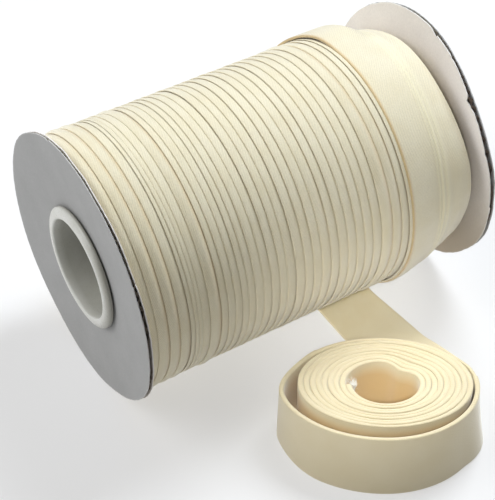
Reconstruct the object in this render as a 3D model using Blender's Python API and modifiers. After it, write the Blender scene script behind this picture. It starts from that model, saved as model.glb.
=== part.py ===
"""Roll of bias tape: a wide spool with board flanges, its wound tape and a hand-wound coil of the loose end.

Metres, +Z up. The spool's axis runs along X and the loose end comes out towards -Y. The origin lies on the
surface under the middle of the whole object.
"""
import math

import bmesh
import bpy
from mathutils import Vector

MM = 0.001

# The folded tape
TAPE_WIDTH = 25.4 * MM
TAPE_THICK = 1.2 * MM
FIT = 0.3 * MM

# The spool
FLANGE_RADIUS = 55 * MM
FLANGE_THICK = 2.8 * MM
FLANGE_FLAT = 0.4 * MM
INSIDE_LENGTH = 151 * MM
TUBE_RADIUS = 22.5 * MM
LIP_RADIUS = 25.4 * MM
LIP_PROUD = 3.4 * MM
LIP_FORM = (
    # (mm from the lip's end, mm inside the lip's radius), from the outer side over the dome into the bore
    (2.4, 0.1),
    (1.1, 1.0),
    (0.3, 2.4),
    (0.0, 3.4),
    (0.0, 4.6),
    (0.4, 5.1),
    (1.0, 5.2),
)
FLANGE_DISH = (
    # (radius in mm, how far the board lies inwards of its rim in mm)
    (27, 2.3),
    (36, 1.7),
    (46, 0.7),
    (55, 0.0),
)
AXIS_HEIGHT = FLANGE_RADIUS - FLANGE_FLAT
SPOOL_LENGTH = INSIDE_LENGTH + 2 * FLANGE_THICK

# The wound tape: every turn's left fold lies on the turn before it
CREST_RADIUS = 51.9 * MM
LEFT_SHOULDER = (
    # (mm from the wound tape's left face, mm under the crests)
    (0.4, 2.6),
    (1.0, 0.9),
)
FIRST_FOLD = 6 * MM
FIRST_FOLD_RISE = 0.5 * MM
FOLD_EDGE = 0.25 * MM
LARGEST_DROP = 0.8 * MM
DROP_PER_PITCH = 0.24
TURN_LEAN = 0.6 * MM
LEAN_STARTS_OVER = 10 * MM
TURN_GROUPS = (
    # (turns, pitch in mm)
    (3, 4.5),
    (3, 1.6),
    (1, 3.2),
    (1, 4.7),
    (5, 2.95),
    (4, 3.5),
    (11, 3.85),
    (1, 5.2),
    (1, 4.3),
    (1, 3.4),
    (1, 1.3),
)

# The last turn lies full width over the right end, where the layers under it fall away
LAST_TURN_LEFT = 117.5 * MM
LAST_TURN_FORM = (
    # (mm from the left flange's outer face, outer radius in mm)
    (117.5, 52.35),
    (124.0, 51.6),
    (130.0, 50.2),
    (134.0, 49.3),
    (142.0, 48.2),
    (147.5, 46.4),
)
RIGHT_SHOULDER = (
    # (mm from the left flange's outer face, outer radius in mm)
    (146.4, 44.9),
    (147.2, 44.2),
    (147.6, 43.0),
)
LAST_TURN_STEP = 0.02 * MM
LAST_FOLD_UNDER = 0.4 * MM
LAST_TURN_SAG = 1.8 * MM
SAG_GROWS = (20, -45)
SAG_ENDS = (-60, -110)
SAG_STARTS = (116.5 * MM, 121.5 * MM)
SAG_DEPTH = 9 * MM

# The last turn is a little opened on the front and the top, and its right edge hangs out there
BAND_WIDTH = 29.4 * MM
BAND_CLOSES = (100, 200)
EDGE_OPENS = (124 * MM, 147 * MM)
EDGE_HANGS = (
    # (degrees round the spool, how far the edge hangs out in mm)
    (-60, 0.1),
    (-30, 0.0),
    (-9, 1.0),
    (5, 3.3),
    (17, 4.5),
    (28, 4.0),
    (39, 2.5),
    (60, 0.8),
    (82, 1.9),
    (92, 2.7),
    (107, 1.1),
    (150, 0.0),
)
LAST_TURN_STARTS = -62
LAST_TURN_LIFTS = (92, 114)
LAST_TURN_SLANTS = (104, 262)
STRIP_LEFT = 94.6 * MM
STRIP_LANDS = 16 * MM
STRIP_PLACES = (2 * MM, -4 * MM, -11 * MM, -19 * MM)

# The coil stands on its edge in front of the spool, its long axis turned towards the viewer's right
COIL_MIDDLE = Vector((81.5, -87.4, 0)) * MM
COIL_TURN = math.radians(-31.6)
COIL_TURNS = 9
COIL_HOLE = (13 * MM, 10 * MM)
COIL_OUTSIDE = (33.8 * MM, 21.9 * MM)
COIL_GROOVE = 0.8 * MM
HOLE_DENT = (54, 22, 0.3)

# The loose turn round the coil: its reach to the right, the left, the front and the back
LOOSE_TURN = (35.6 * MM, 39.4 * MM, 25.7 * MM, 23.5 * MM)
LOOSE_FLARE = 6.5 * MM
FLARE_CALMS = (120, 165)
CALMED_SHARE = 0.6
RIGHT_FLARE = 4.5 * MM
RIGHT_FLARE_GROWS = (-10, 25)
RIGHT_FLARE_ENDS = (30, 90)
LOOSE_LAG = 8
LOOSE_TURN_STARTS = 8
LOOSE_TURN_ENDS = -225
LOOSE_TURN_JOINS = (165, 212)
LEFT_END_FROM = -90
LAG_ENDS = 30
FLARE_ROUND = 0.8
EDGE_REST = 0.16 * MM
FLAT_REST = 0.02 * MM
COIL_GAP = 0.4 * MM
TWIST_ROWS = (
    # (bottom edge x, y, top edge x, y, z) in mm, from the flat strip to the coil's right end
    (94.6, -30.0, 119.9, -30.0, 0.4),
    (94.6, -42.0, 119.8, -44.0, 3.0),
    (95.0, -52.0, 118.2, -57.0, 7.6),
    (95.8, -61.5, 116.0, -68.0, 12.8),
    (100.0, -71.0, 114.5, -79.0, 18.8),
    (108.4, -81.5, 113.9, -90.0, 23.0),
    (112.8, -91.2, 114.2, -97.5, 24.6),
)
TWIST_STEPS = 3

# How far the object reaches, which sets its origin
FRONT_REACH = 122.05 * MM
ORIGIN = Vector((SPOOL_LENGTH / 2, (FLANGE_RADIUS - FRONT_REACH) / 2, 0))

ROUND_STEPS = 56
WOUND_STEPS = 36
COIL_STEPS = 44
WRAP_STEP = 6
LOOSE_STEP = 8
ACROSS = (0, 0.2, 0.42, 0.62, 0.82, 1)


def smooth(value, start, end):
    """0 before start, 1 after end and a soft slope between them."""
    share = min(max((value - start) / (end - start), 0), 1)
    return share * share * (3 - 2 * share)


def on_line(rows, place):
    """The value at a place, straight between the rows of a two-column table."""
    if place <= rows[0][0]:
        return rows[0][1]
    for (left, low), (right, high) in zip(rows, rows[1:]):
        if place <= right:
            return low + (high - low) * (place - left) / (right - left)
    return rows[-1][1]


def plain_material(name, colour, roughness, metallic=0.0):
    material = bpy.data.materials.new(name)
    material.use_nodes = True
    shader = material.node_tree.nodes["Principled BSDF"]
    shader.inputs["Base Color"].default_value = (*colour, 1)
    shader.inputs["Roughness"].default_value = roughness
    shader.inputs["Metallic"].default_value = metallic
    material.diffuse_color = (*colour, 1)
    return material


def new_object(name, mesh, material, holder, collection):
    obj = bpy.data.objects.new(name, mesh)
    mesh.materials.append(material)
    collection.objects.link(obj)
    obj.parent = holder
    return obj


def turned_mesh(name, profile, steps):
    """A closed outline of (x, radius) points turned about the X axis by a Screw modifier."""
    mesh = bpy.data.meshes.new(name)
    count = len(profile)
    points = [(x, 0, radius) for x, radius in profile]
    mesh.from_pydata(points, [(i, (i + 1) % count) for i in range(count)], [])
    outline = bpy.data.objects.new(name + "_outline", mesh)
    bpy.context.scene.collection.objects.link(outline)
    screw = outline.modifiers.new("turned", "SCREW")
    screw.axis = "X"
    screw.steps = steps
    screw.render_steps = steps
    screw.use_merge_vertices = True
    screw.merge_threshold = 0.00001
    seen = outline.evaluated_get(bpy.context.evaluated_depsgraph_get())
    solid = bpy.data.meshes.new_from_object(seen)
    bpy.data.objects.remove(outline)
    bpy.data.meshes.remove(mesh)
    solid.name = name
    return solid


def faced_out(mesh, sharp_degrees=35):
    """Turns the faces outwards and shades them smooth but for real edges."""
    shape = bmesh.new()
    shape.from_mesh(mesh)
    bmesh.ops.recalc_face_normals(shape, faces=shape.faces)
    shape.to_mesh(mesh)
    shape.free()
    mesh.shade_smooth()
    mesh.set_sharp_from_angle(angle=math.radians(sharp_degrees))


def core_mesh():
    """The plastic tube with a domed lip outside each flange."""
    seat = FLANGE_DISH[0][1] * MM - FIT
    end = seat - LIP_PROUD
    left = [
        (seat, TUBE_RADIUS),
        (seat, LIP_RADIUS),
    ]
    left += [(end + place * MM, LIP_RADIUS - under * MM) for place, under in LIP_FORM]
    right = [(SPOOL_LENGTH - x, radius) for x, radius in reversed(left)]
    return turned_mesh("core", left + right, ROUND_STEPS)


def flange_mesh(name, rim_place, inwards):
    """A slightly dished disc of board with a hole for the core, its rim a little flat where it rests."""
    rings = ((TUBE_RADIUS + FIT, FLANGE_DISH[0][1] * MM),)
    rings += tuple((radius * MM, dish * MM) for radius, dish in FLANGE_DISH)
    outer = [(rim_place + inwards * dish, radius) for radius, dish in rings]
    inner = [(place + inwards * FLANGE_THICK, radius) for place, radius in reversed(outer)]
    mesh = turned_mesh(name, outer + inner, ROUND_STEPS)
    for vertex in mesh.vertices:
        vertex.co.z = max(vertex.co.z, -AXIS_HEIGHT)
    return mesh


def fold_places():
    """The places of the turns' left folds, each with the pitch to the next."""
    place = FIRST_FOLD
    folds = []
    for turns, pitch in TURN_GROUPS:
        for _ in range(turns):
            folds.append((place, pitch * MM))
            place += pitch * MM
    return folds


def wound_profile():
    """The wound tape's outline from its left face over the folds to its right face."""
    left_face = FLANGE_THICK + FIT
    inside = TUBE_RADIUS + FIT
    profile = [(left_face + FLANGE_DISH[0][1] * MM, inside)]
    profile += [(left_face + dish * MM, radius * MM) for radius, dish in FLANGE_DISH[:-1]]
    profile += [(left_face + place * MM, CREST_RADIUS - under * MM) for place, under in LEFT_SHOULDER]
    profile.append((FIRST_FOLD - FOLD_EDGE, CREST_RADIUS - FIRST_FOLD_RISE))
    for place, pitch in fold_places():
        drop = min(LARGEST_DROP, DROP_PER_PITCH * pitch)
        profile.append((place, CREST_RADIUS))
        profile.append((place + pitch - FOLD_EDGE, CREST_RADIUS - drop))
    under = TAPE_THICK + FIT
    profile[-1] = (LAST_TURN_LEFT - FIT, CREST_RADIUS - LAST_FOLD_UNDER)
    profile.append((LAST_TURN_LEFT - FIT + LAST_TURN_STEP, LAST_TURN_FORM[0][1] * MM - under))
    profile += [(place * MM, radius * MM - under) for place, radius in LAST_TURN_FORM[1:-1]]
    profile += [(place * MM, radius * MM) for place, radius in RIGHT_SHOULDER]
    profile.append((RIGHT_SHOULDER[-1][0] * MM, inside))
    return profile


def lean(place, angle):
    """How far a turn leans along the axis at an angle round it, 0 at the front and 90 degrees on top."""
    share = smooth(place, FLANGE_THICK + FIT, LEAN_STARTS_OVER)
    return share * TURN_LEAN * math.sin(angle)


def sag(degrees):
    """How far the last turn and what is under it hang away from the axis, low on the front."""
    return LAST_TURN_SAG * smooth(degrees, *SAG_GROWS) * (1 - smooth(degrees, *SAG_ENDS))


def edge_hang(place, degrees):
    """How far the last turn stands off the layers under its right edge."""
    return on_line(EDGE_HANGS, degrees) * MM * smooth(place, *EDGE_OPENS)


def wound_mesh():
    mesh = turned_mesh("wound_tape", wound_profile(), WOUND_STEPS)
    for vertex in mesh.vertices:
        angle = math.atan2(vertex.co.z, -vertex.co.y)
        outside = smooth(math.hypot(vertex.co.y, vertex.co.z), TUBE_RADIUS + FIT, CREST_RADIUS - SAG_DEPTH)
        loose = smooth(vertex.co.x, *SAG_STARTS)
        grown = 1 + loose * outside * sag(math.degrees(angle)) / CREST_RADIUS
        vertex.co.x += lean(vertex.co.x, angle)
        vertex.co.y *= grown
        vertex.co.z *= grown
    return mesh


def oval(degrees, long_reach, short_reach):
    """A point of an oval about the coil's middle: 0 degrees is its right end and -90 its front."""
    angle = math.radians(degrees)
    along = Vector((math.cos(COIL_TURN), math.sin(COIL_TURN), 0))
    back = Vector((-math.sin(COIL_TURN), math.cos(COIL_TURN), 0))
    return COIL_MIDDLE + along * long_reach * math.cos(angle) + back * short_reach * math.sin(angle)


def coil_point(share, degrees, height):
    """A point of the coil, from its dented hole at share 0 to its outside at share 1."""
    reach = [inner + (outer - inner) * share for inner, outer in zip(COIL_HOLE, COIL_OUTSIDE)]
    place, width, depth = HOLE_DENT
    away = (degrees - place + 180) % 360 - 180
    dent = 1 - depth * (1 - share) ** 2 * math.exp(-((away / width) ** 2))
    point = COIL_MIDDLE + (oval(degrees, *reach) - COIL_MIDDLE) * dent
    return point + Vector((0, 0, height))


def coil_mesh():
    """The coil: an oval ring whose turns stand as ridges on its upper side."""
    section = [(1, 0), (0, 0), (0, TAPE_WIDTH - COIL_GROOVE)]
    for turn in range(COIL_TURNS):
        section.append(((turn + 0.5) / COIL_TURNS, TAPE_WIDTH))
        section.append(((turn + 1) / COIL_TURNS, TAPE_WIDTH - COIL_GROOVE))
    count = len(section)
    points = []
    faces = []
    for step in range(COIL_STEPS):
        degrees = 360 * step / COIL_STEPS
        points += [coil_point(share, degrees, height) for share, height in section]
        here = step * count
        after = (step + 1) % COIL_STEPS * count
        for i in range(count):
            j = (i + 1) % count
            faces.append((here + i, here + j, after + j, after + i))
    mesh = bpy.data.meshes.new("hand_coil")
    mesh.from_pydata(points, [], faces)
    return mesh


def wrap_rows():
    """Rows across the last turn: up the front, over the top and down the back, slanting to the strip."""
    rows = []
    half = TAPE_THICK / 2
    for degrees in range(LAST_TURN_STARTS, LAST_TURN_SLANTS[1] + 1, WRAP_STEP):
        angle = math.radians(degrees)
        slant = smooth(degrees, *LAST_TURN_SLANTS)
        lift = smooth(degrees, *LAST_TURN_LIFTS) * (CREST_RADIUS + FIT + TAPE_THICK - LAST_TURN_FORM[0][1] * MM)
        left = LAST_TURN_LEFT + (STRIP_LEFT - LAST_TURN_LEFT) * slant + TURN_LEAN * math.sin(angle) * (1 - slant)
        wide = BAND_WIDTH + (TAPE_WIDTH - BAND_WIDTH) * smooth(degrees, *BAND_CLOSES)
        row = []
        for share in ACROSS:
            x = left + share * wide
            radius = on_line(LAST_TURN_FORM, x / MM) * MM - half + lift + sag(degrees) + edge_hang(x, degrees)
            row.append(Vector((x, -math.cos(angle) * radius, AXIS_HEIGHT + math.sin(angle) * radius)))
        rows.append(row)
    return rows


def straight_row(bottom, top):
    return [bottom + (top - bottom) * share for share in ACROSS]


def strip_rows(last):
    """Rows from the bottom of the wound tape down to the surface."""
    floor = TAPE_THICK / 2
    rows = []
    start = last[0]
    for y in STRIP_PLACES:
        height = floor + (start.z - floor) * (1 - smooth(-y, -start.y, STRIP_LANDS))
        bottom = Vector((STRIP_LEFT, y, height))
        rows.append(straight_row(bottom, bottom + Vector((TAPE_WIDTH, 0, 0))))
    return rows


def twist_rows(before, after):
    """Rows where the strip's right edge rises while its left edge stays on the surface."""
    guides = [(before[0], before[-1])]
    for bottom_x, bottom_y, top_x, top_y, top_z in TWIST_ROWS:
        guides.append((Vector((bottom_x, bottom_y, 0)) * MM, Vector((top_x, top_y, top_z)) * MM))
    guides.append((after[0], after[-1]))
    for bottom, top in guides[1:-1]:
        flat = (top - bottom).normalized()
        bottom.z = TAPE_THICK / 2 * math.hypot(flat.x, flat.y) + FLAT_REST
        top.z += bottom.z
    rows = []
    for i in range(len(guides) - 1):
        four = [guides[min(max(i + j, 0), len(guides) - 1)] for j in (-1, 0, 1, 2)]
        for step in range(TWIST_STEPS):
            if i or step:
                share = step / TWIST_STEPS
                bottom, top = (between([pair[side] for pair in four], share) for side in (0, 1))
                rows.append(straight_row(bottom, top))
    return rows


def between(four, share):
    """A point on a smooth curve between the second and third of four points."""
    a, b, c, d = four
    square = share * share
    return 0.5 * (
        2 * b + (c - a) * share + (2 * a - 5 * b + 4 * c - d) * square + (3 * (b - c) + d - a) * square * share
    )


def loose_rows():
    """Rows round the coil: right end, front, left end and back, where the tape joins the coil."""
    rows = []
    for degrees in range(LOOSE_TURN_STARTS, LOOSE_TURN_ENDS - 1, -LOOSE_STEP):
        front = math.sin(math.radians(-degrees))
        right_reach, left_reach, front_reach, back_reach = LOOSE_TURN
        reach = right_reach if degrees > LEFT_END_FROM else left_reach
        short = front_reach if front > 0 else back_reach
        joined = smooth(-degrees, *LOOSE_TURN_JOINS)
        close = TAPE_THICK / 2 + COIL_GAP
        long_reach = reach + (COIL_OUTSIDE[0] + close - reach) * joined
        short_reach = short + (COIL_OUTSIDE[1] + close - short) * joined
        top = oval(degrees, long_reach, short_reach)
        flare = LOOSE_FLARE * max(front, 0) ** FLARE_ROUND
        flare *= 1 - CALMED_SHARE * smooth(-degrees, *FLARE_CALMS)
        on_right = smooth(-degrees, *RIGHT_FLARE_GROWS) * (1 - smooth(-degrees, *RIGHT_FLARE_ENDS))
        flare = max(flare, RIGHT_FLARE * on_right)
        lag = LOOSE_LAG * (1 - smooth(-degrees, -LOOSE_TURN_STARTS, LAG_ENDS))
        bottom = oval(degrees + lag, long_reach, short_reach)
        bottom += (bottom - COIL_MIDDLE).normalized() * flare
        bottom.z = EDGE_REST
        top.z = EDGE_REST + math.sqrt(TAPE_WIDTH**2 - flare**2)
        rows.append(straight_row(bottom, top))
    return rows


def loose_tape_mesh():
    """The loose end's middle surface, a strip of faces between its rows."""
    wrap = wrap_rows()
    strip = strip_rows(wrap[-1])
    loose = loose_rows()
    rows = wrap + strip + twist_rows(strip[-1], loose[0]) + loose
    wide = len(ACROSS)
    points = [point for row in rows for point in row]
    faces = []
    for i in range(len(rows) - 1):
        for j in range(wide - 1):
            here = i * wide + j
            faces.append((here, here + 1, here + wide + 1, here + wide))
    mesh = bpy.data.meshes.new("loose_tape")
    mesh.from_pydata(points, [], faces)
    return mesh


def build():
    for obj in list(bpy.data.objects):
        bpy.data.objects.remove(obj)
    collection = bpy.data.collections.new("bias_tape_roll")
    bpy.context.scene.collection.children.link(collection)

    board = plain_material("board", (0.42, 0.42, 0.43), 0.85)
    plastic = plain_material("core_plastic", (0.62, 0.62, 0.57), 0.35)
    cloth = plain_material("tape_cloth", (0.84, 0.79, 0.62), 0.6)

    holder = bpy.data.objects.new("bias_tape_roll", None)
    holder.location = -ORIGIN
    collection.objects.link(holder)
    axle = bpy.data.objects.new("spool_axis", None)
    axle.location = (0, 0, AXIS_HEIGHT)
    axle.parent = holder
    collection.objects.link(axle)

    turned = (
        ("core", core_mesh(), plastic),
        ("flange_left", flange_mesh("flange_left", 0, 1), board),
        ("flange_right", flange_mesh("flange_right", SPOOL_LENGTH, -1), board),
        ("wound_tape", wound_mesh(), cloth),
    )
    for name, mesh, material in turned:
        faced_out(mesh)
        new_object(name, mesh, material, axle, collection)

    coil = coil_mesh()
    faced_out(coil)
    new_object("hand_coil", coil, cloth, holder, collection)

    tape = new_object("loose_tape", loose_tape_mesh(), cloth, holder, collection)
    tape.data.shade_smooth()
    thicken = tape.modifiers.new("tape thickness", "SOLIDIFY")
    thicken.thickness = TAPE_THICK
    thicken.offset = 0


build()
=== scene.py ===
"""Looks of the roll of bias tape: the wound turns, the loose end with its coil, the flanges and the core.

Shapes are worked out in millimetres: x along the spool from the left flange's rim, y away from the viewer
from the spool's axis, z up from the surface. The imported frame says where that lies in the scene.
"""
import math
import random

import bpy
from mathutils import Matrix, Vector, noise


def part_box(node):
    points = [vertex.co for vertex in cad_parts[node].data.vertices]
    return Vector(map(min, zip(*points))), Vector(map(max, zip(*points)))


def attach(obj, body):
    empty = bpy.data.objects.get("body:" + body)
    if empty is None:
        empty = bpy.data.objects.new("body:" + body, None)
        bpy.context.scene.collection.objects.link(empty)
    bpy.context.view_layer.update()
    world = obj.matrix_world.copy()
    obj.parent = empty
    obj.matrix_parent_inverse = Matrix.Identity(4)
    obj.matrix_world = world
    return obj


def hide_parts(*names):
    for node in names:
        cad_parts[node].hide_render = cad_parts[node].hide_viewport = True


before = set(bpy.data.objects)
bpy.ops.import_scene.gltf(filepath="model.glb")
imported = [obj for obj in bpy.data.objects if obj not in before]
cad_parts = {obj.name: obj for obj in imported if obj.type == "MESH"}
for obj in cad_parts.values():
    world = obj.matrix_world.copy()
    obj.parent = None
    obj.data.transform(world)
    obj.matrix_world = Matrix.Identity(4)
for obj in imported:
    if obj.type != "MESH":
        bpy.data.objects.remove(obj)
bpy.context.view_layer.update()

MM = 0.001

# Where the spool lies, from the frame
left_low, left_high = (Vector(corner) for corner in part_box("flange_left"))
right_low, right_high = (Vector(corner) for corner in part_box("flange_right"))
FLANGE_RADIUS = (left_high.y - left_low.y) / 2 / MM
SPOOL_LENGTH = (right_high.x - left_low.x) / MM
AXIS_HEIGHT = left_high.z / MM - FLANGE_RADIUS
CORNER = Vector((left_low.x, (left_low.y + left_high.y) / 2, 0))

# The folded tape, in mm
TAPE_WIDTH = 25.4
TAPE_THICK = 1.2

# Flanges and core, in mm
FLANGE_THICK = 2.0
RIGHT_RIM_IN = 0.8
LINER_THICK = 0.35
FLANGE_DISH = ((22.8, 2.3), (27, 2.3), (36, 1.7), (46, 0.7), (55, 0.0))
LEFT_BENT = (
    # (degrees round the disc, how far its rim is bent inwards in mm)
    (0, 0.0),
    (115, 0.0),
    (140, -1.5),
    (160, -1.0),
    (200, -1.1),
    (220, -0.7),
    (240, -0.2),
    (275, -0.2),
    (300, 0.6),
    (325, 0.5),
    (350, 0.0),
)
RIGHT_BENT = (
    (0, 0.4),
    (20, 0.6),
    (32, 1.6),
    (45, 1.4),
    (60, 0.2),
    (75, -1.4),
    (90, -2.4),
    (107, -2.5),
    (122, -1.8),
    (145, -0.4),
    (170, 0.0),
    (300, 0.0),
    (330, -1.0),
    (345, -0.5),
    (360, 0.4),
)
LEFT_CRUSH = ((0, 1.0), (30, 0.95), (55, 0.8), (80, 0.7), (115, 0.62), (150, 0.7), (220, 1.0))
RIGHT_CRUSH = ((0, 1.1), (30, 1.2), (60, 1.0), (90, 0.75), (130, 0.7), (200, 1.0))
CRUSH_REACH = (44, 54)
LEFT_WORN = ((0, 0.3), (40, 0.5), (60, 0.9), (88, 0.8), (100, 0.25), (200, 0.2))
RIGHT_WORN = ((0, 0.9), (360, 0.9))
LEFT_TEARS = (
    # (degrees round the disc, reach upwards and downwards in degrees, depth in mm, liner)
    (34, 0.6, 0.9, 1.2, "in"),
    (34, 0.5, 0.6, 0.5, "out"),
    (62, 1.4, 1.4, 0.4, "in"),
    (107, 2.5, 1.0, 0.6, "out"),
)
RIGHT_TEARS = (
    (50, 0.5, 6.5, 1.9, "in"),
    (81, 4.5, 0.7, 1.0, "in"),
    (68, 1.2, 1.6, 0.5, "in"),
    (26, 1.0, 1.5, 0.5, "in"),
)
# How strong the painted brown shade is on the lower part of the flanges' inner faces
SHADED_LOW = 0.75
BOARD_HOLE = 22.9
BORE_RADIUS = 20.2
TUBE_RADIUS = 22.5
LIP_RADIUS = 24.9
LIP_PROUD = 2.9
LIP_GAP = 0.7
# How strong the painted shade is deep in the bore, on the lips' front-facing domes and on their flanks
BORE_SHADE = 0.4
FRONT_SHADE = 0.72
FLANK_SHADE = 0.75
FLUTE_PITCH = 2.6
MEDIUM_HALF = 0.12
PALE_MEDIUM = 1.6
LINER_STEPS = 480
MEDIUM_STEPS = 1080

# The wound turns: (turns, pitch in mm)
TURN_GROUPS = (
    (3, 4.5),
    (3, 1.6),
    (1, 3.2),
    (1, 4.7),
    (5, 2.95),
    (4, 3.5),
    (11, 3.85),
    (1, 5.2),
    (1, 4.3),
    (1, 3.4),
    (1, 1.3),
)
FIRST_FOLD = 6.0
CREST_RADIUS = 51.9
LARGEST_DROP = 0.56
DROP_PER_PITCH = 0.155
LEFT_END = 2.6
LEFT_SHOULDER = ((2.5, 3.2), (3.0, 1.9), (3.8, 0.9), (5.4, 0.4), (8.0, 0.1), (11.0, 0.0))
STEPS_PER_TURN = 90
TURNS_BEFORE = 1.6
FOLD_WAVER = 0.22
FOLD_WAVES = 2.3
CREST_WAVER = 0.12
CREST_WAVES = 1.7
FOLD_LIP = 0.08
# How far a turn's crown stands up, and how much more on the wide turns, which are softer
CROWN = 0.06
SOFT_CROWN = 0.55
SOFT_PITCH = (3.9, 4.5)
# How much painted tan shade lies on the right part of the wide turns and along the last turn's left edge
TURN_TAN_SHADE = 0.6
EDGE_TAN_SHADE = 0.9

# The last turn, full width over the right end
LAST_TURN_LEFT = 117.5
LAST_TURN_FORM = ((117.5, 52.35), (124.0, 51.6), (130.0, 50.2), (134.0, 49.3), (142.0, 48.2), (147.5, 46.4))
LAST_TURN_PITCH = 3.2
LAST_TURN_STARTS = -80
LAST_TURN_LIFTS = (92, 114)
LAST_TURN_SLANTS = (104, 262)
LAST_TURN_SAG = 1.8
SAG_GROWS = (20, -45)
SAG_ENDS = (-60, -110)
SAG_STARTS = (113.5, 119.5)
SAG_STOPS = (130, 146)
BAND_WIDTH = 29.4
EDGE_OPENS = (124, 147)
EDGE_HANGS = (
    # (degrees round the spool, how far the last turn's right edge hangs out in mm)
    (-60, 0.1),
    (-30, 0.0),
    (-9, 1.0),
    (5, 3.3),
    (17, 4.5),
    (28, 4.0),
    (39, 2.5),
    (50, 1.6),
    (60, 0.7),
    (70, 1.1),
    (82, 1.1),
    (92, 1.1),
    (99, 0.5),
    (107, -0.4),
    (140, -0.6),
    (170, 0.0),
)
LIFT_STOPS = (131, 140)
HUMP_ENDS = (150, 215)
STRIP_LEFT = 94.6
UNDER_LAST_TURN = 1.5
UNDER_FOLLOWS = 0.6
# How much painted highlight lightens the last turn's right edge
EDGE_HIGHLIGHT = 0.9
# The tape's right end below the last turn; its points carry painted shade beside that turn's edge
RIGHT_SHOULDER = ((146.4, 44.9), (147.2, 44.2), (147.6, 43.0))

# The loose end from the flat strip to the coil: bottom edge x, y and top edge x, y, z, in mm
TWIST_ROWS = (
    (94.6, -30.0, 119.9, -30.0, 0.4),
    (94.6, -42.0, 119.8, -44.0, 3.0),
    (95.0, -52.0, 118.2, -57.0, 7.6),
    (95.8, -61.5, 116.0, -68.0, 12.8),
    (100.0, -71.0, 114.5, -79.0, 18.8),
    (108.4, -81.5, 113.9, -90.0, 23.0),
    (112.8, -91.2, 114.2, -97.5, 24.6),
)
TWIST_STEPS = 8

# Degrees between the rows of the last turn, the loose turn and the coil
WRAP_STEP = 3
LOOSE_STEP = 4
COIL_STEP = 5

# The coil, standing on its edge
COIL_MIDDLE = Vector((81.5, -87.4, 0))
COIL_TURN = math.radians(-31.6)
COIL_HOLE = (12.4, 9.6)
COIL_OUTSIDE = (33.8, 21.9)
HOLE_DENT = (54, 22, 0.3)
LOOSE_TURN = (35.2, 39.4, 25.7, 23.5)
LOOSE_JOINS = (165, 212)
LOOSE_THICK = 1.9
LOOSE_FLARE = 6.5
FLARE_CALMS = (120, 165)
RIGHT_FLARE = 5.2
LOOSE_LAG = 8
LOOSE_OUTSIDE = 1.0
REST_GAP = 0.16
LOOSE_TURN_STARTS = 8
LOOSE_TURN_ENDS = -225
COIL_CLOSES = 355
COIL_ENDS = 3415
COIL_SETTLES = 500
COIL_STARTS = 1.05
OUTER_SHARE = 0.944
INNER_LEAN = 2.2
# How much painted warm shade lies in the coil's hole and between the coil and the loose turn, and where it
# fades in below the upper edge
COIL_WARM_SHADE = 0.9
LOOSE_WARM_SHADE = 0.7
WARM_STARTS = (0.5, 7)
INNER_SHARE = 0.056
RIM_SHADE = 0.42
WALL_SHADE = 0.4
# Places across the tape where the coil's painted rim shade and the last turn's painted tan left edge fade
RIM_STATIONS = (24.5, 25.1)
TAN_STATIONS = (0.3, 1.2)
LEFT_FOLD = 0.3
LEFT_FOLD_SHADE = 0.5
LOOSE_CALM = 0.85
FOLD_ROUND = 0.45
COIL_THICK = (1.1, 2.4)

# The camera of the photo
CAMERA_PLACE = (-148.0, -362.2, 446.9)
CAMERA_LOOKS = Vector((0.3723, 0.605, -0.7037))
CAMERA_LENS = 104.8
SENSOR_WIDTH = 36

# The studio
SKY = 0.05
FLOOR_PALE = 0.4
FLOOR_GLOW = 0.49
FLOOR_SIZE = 30
SPOOL_MIDDLE = (0, 0, 0.03)
LIGHTS = (
    # (name, place in m, width in m, watts, colour), all aimed at the spool
    ("key", (0.66, 0.38, 1.05), 0.6, 17.0, (0.95, 1.0, 1.06)),
    ("front_top", (0.1, -0.3, 1.1), 0.7, 0.4, (1.0, 0.98, 0.95)),
    ("left", (-0.8, 0.38, 0.85), 0.95, 8.7, (1.0, 1.0, 1.0)),
)
NARROW_LIGHTS = (
    # (name, place and target in m, cone in degrees, width in m, watts)
    ("strip_lamp", (-0.26, -0.42, 0.56), (0.03, -0.014, 0.0), 5.8, 0.04, 30.0),
    ("right_end_lamp", (-0.45, -0.5, 0.55), (0.074, 0.0, 0.07), 10, 0.06, 7.0),
)


def smooth(value, start, end):
    """0 before start, 1 after end and a soft slope between them."""
    share = min(max((value - start) / (end - start), 0), 1)
    return share * share * (3 - 2 * share)


def on_line(rows, place):
    """The value at a place, straight between the rows of a two-column table."""
    if place <= rows[0][0]:
        return rows[0][1]
    for (left, low), (right, high) in zip(rows, rows[1:]):
        if place <= right:
            return low + (high - low) * (place - left) / (right - left)
    return rows[-1][1]


CURVE_OFFSETS = (-1, -0.5, 0, 0.5, 1)
NOISE_FILL = [0.37, 0.71]
NOISE_GAIN = 1.6


def on_curve(rows, place, width):
    """The value at a place with the table's corners rounded over a width."""
    return sum(on_line(rows, place + width * offset) for offset in CURVE_OFFSETS) / len(CURVE_OFFSETS)


def waver(*place):
    """A smooth value between about -1 and 1 that never changes from run to run."""
    return noise.noise(Vector((list(place) + NOISE_FILL)[:3])) * NOISE_GAIN


def in_scene(point):
    """A point in the spool's millimetres, as a place in the scene."""
    return CORNER + Vector(point) * MM


def round_spool(x, radius, degrees):
    """A point round the spool's axis: 0 degrees is its front, 90 its top and 180 its back."""
    angle = math.radians(degrees)
    return Vector((x, -math.cos(angle) * radius, AXIS_HEIGHT + math.sin(angle) * radius))


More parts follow.
